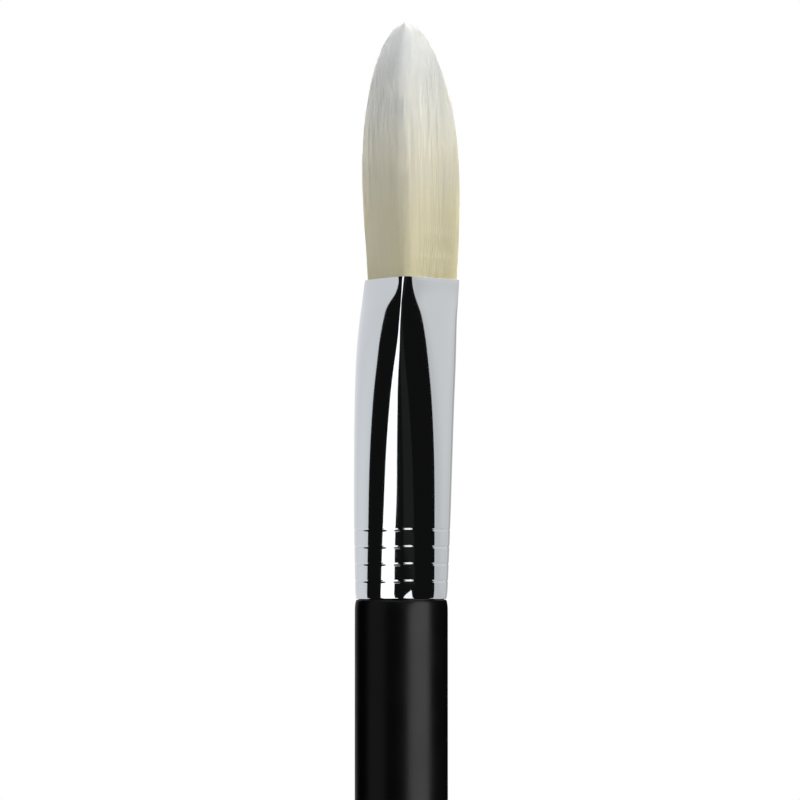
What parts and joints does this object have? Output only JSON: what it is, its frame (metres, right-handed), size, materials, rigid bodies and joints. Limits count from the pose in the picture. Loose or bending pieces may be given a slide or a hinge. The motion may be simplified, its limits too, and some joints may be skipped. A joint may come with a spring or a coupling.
{
  "type": "concealer brush",
  "caption": "Upright make-up brush: tapered round wooden handle, crimped metal ferrule pressed three-cornered at its mouth, and a bullet-shaped bristle tuft.",
  "frame": {"origin": "centre of the small flat on the handle's end", "axes": "+Z along the handle towards the bristle tips; the ferrule's front corner points along -Y and its mouth stands off the handle's axis along +X"},
  "size_m": [0.0104, 0.0103, 0.1758],
  "materials": {
    "handle_lacquer": "black gloss lacquer over turned wood",
    "adhesive": "cured clear adhesive",
    "ferrule_metal": "bright plated, pressed from drawn tube",
    "epoxy": "cast amber epoxy",
    "thread": "waxed whipping thread",
    "bristles": "white to cream synthetic filaments"
  },
  "bodies": {
    "root": {"handle": "handle_lacquer", "handle_glue": "adhesive", "ferrule": "ferrule_metal", "epoxy_plug": "epoxy", "root_thread": "thread", "bristle_tuft": "bristles"}
  },
  "joints": []
}
